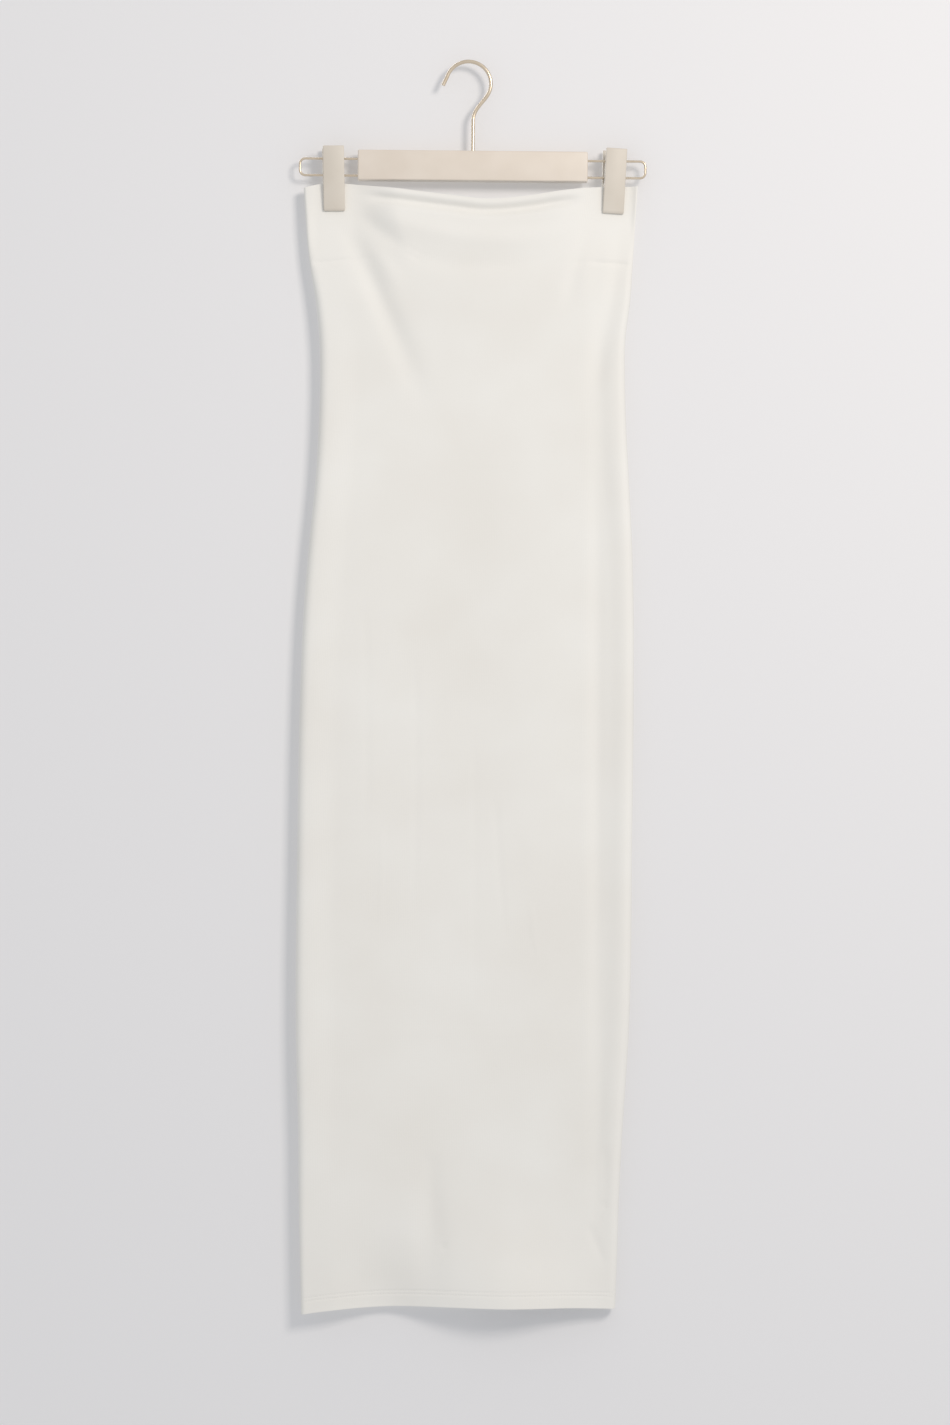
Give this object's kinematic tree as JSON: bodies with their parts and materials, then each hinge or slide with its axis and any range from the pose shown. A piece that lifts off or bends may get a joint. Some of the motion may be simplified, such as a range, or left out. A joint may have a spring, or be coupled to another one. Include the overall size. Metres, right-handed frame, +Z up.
{
  "type": "strapless dress on a clip hanger",
  "caption": "Strapless column dress of firm white knit, an open soft tube from top edge to hem, hanging by clips from a hanger with a wire hook.",
  "frame": {"origin": "underside of the hook's crown, where the rail, nail or wall hook carries the hanger", "axes": "+Z up along the hanging dress, +X to the right along the hanger as seen from the front, and the dress's front faces -Y"},
  "size_m": [0.3648, 0.0393, 1.3034],
  "materials": {
    "white_knit": "matt double knit, off-white",
    "bar_plastic": "satin moulded, warm beige",
    "clip_plastic": "satin moulded, greyer beige",
    "painted_wire": "satin champagne paint on steel wire",
    "spring_steel": "plain spring wire"
  },
  "bodies": {
    "root": {"dress_front": "white_knit", "dress_back": "white_knit", "hanger_bar": "bar_plastic", "hanger_hook": "painted_wire", "clip_rail_left": "painted_wire", "clip_rail_right": "painted_wire", "clip_left_jaw_front": "clip_plastic", "clip_left_jaw_back": "clip_plastic", "clip_left_spring": "spring_steel", "clip_right_jaw_front": "clip_plastic", "clip_right_jaw_back": "clip_plastic", "clip_right_spring": "spring_steel"}
  },
  "joints": []
}
